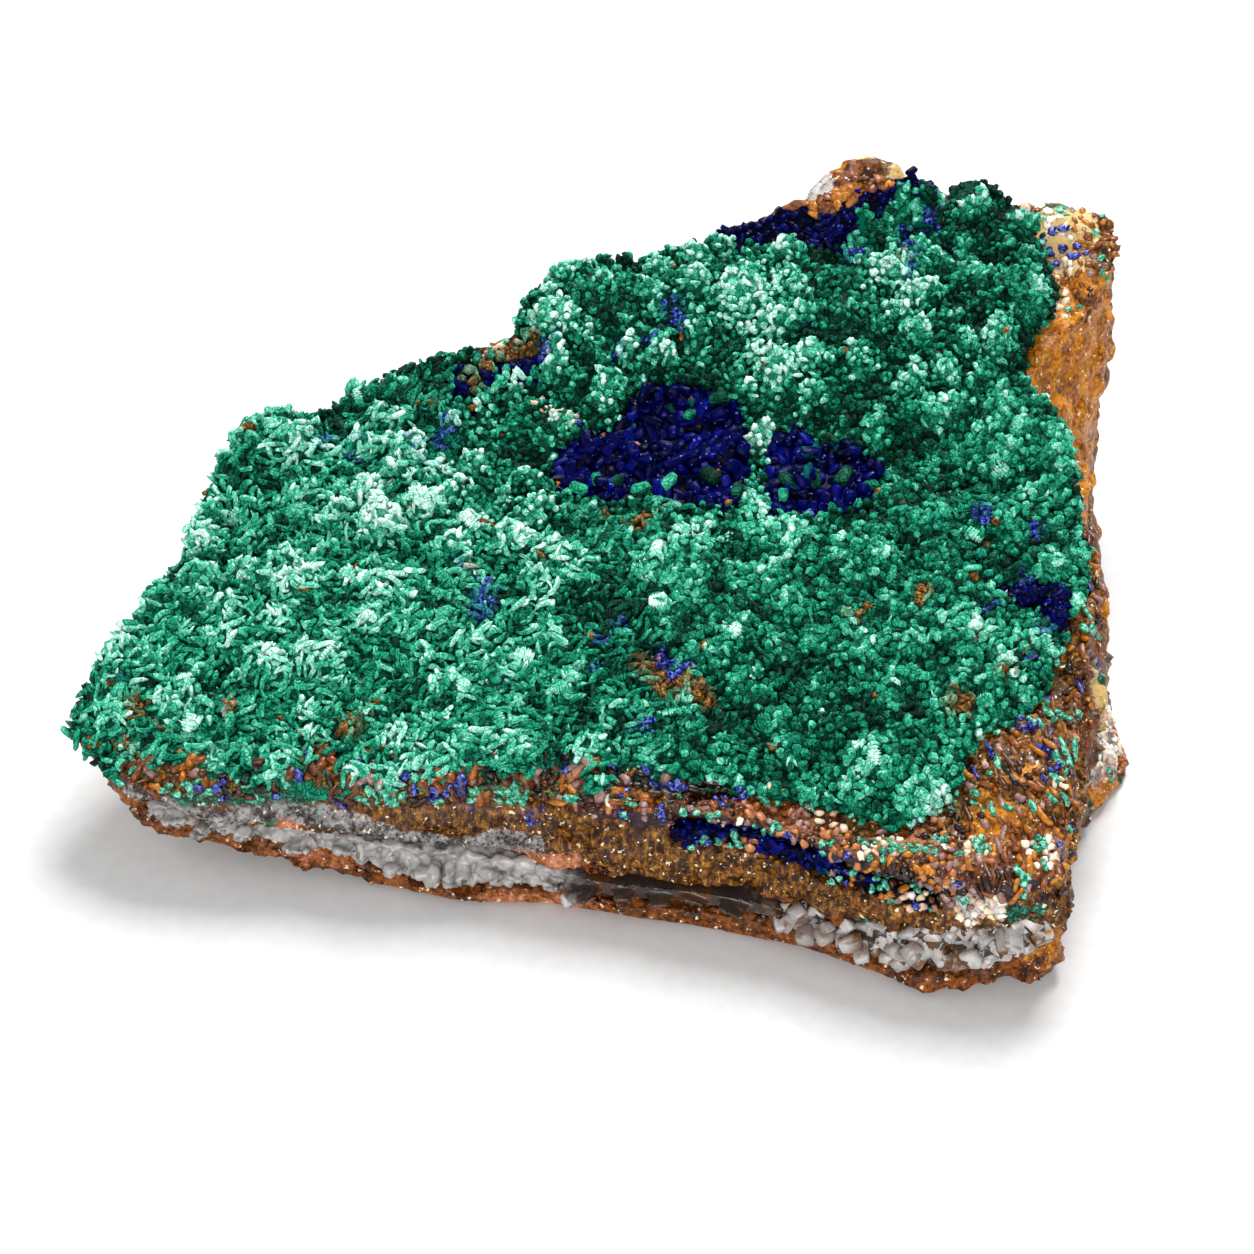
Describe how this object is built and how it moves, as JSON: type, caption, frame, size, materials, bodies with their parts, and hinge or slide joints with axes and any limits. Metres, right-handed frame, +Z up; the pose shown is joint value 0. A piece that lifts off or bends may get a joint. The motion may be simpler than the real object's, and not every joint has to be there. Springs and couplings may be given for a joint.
{
  "type": "azurite and malachite specimen",
  "caption": "Wedge of banded iron-rich rock with a granular green malachite crust and deep blue azurite crystals on its sloping top.",
  "frame": {"origin": "middle of the bounding box, on the flat base that the specimen lies on", "axes": "+X along the long front edge to the right, +Y from the front edge to the thick back, +Z up"},
  "size_m": [0.1304, 0.109, 0.048],
  "materials": {
    "matrix": "rough, broken",
    "malachite": "granular, satin",
    "azurite": "glossy crystals",
    "quartz": "milky, glassy"
  },
  "bodies": {
    "root": {"matrix": "matrix", "malachite_crust": "malachite", "quartz_seam": "quartz", "azurite_lip": "azurite", "azurite_centre_left": "azurite", "azurite_centre_right": "azurite", "azurite_back": "azurite", "azurite_left": "azurite", "azurite_right": "azurite"}
  },
  "joints": []
}
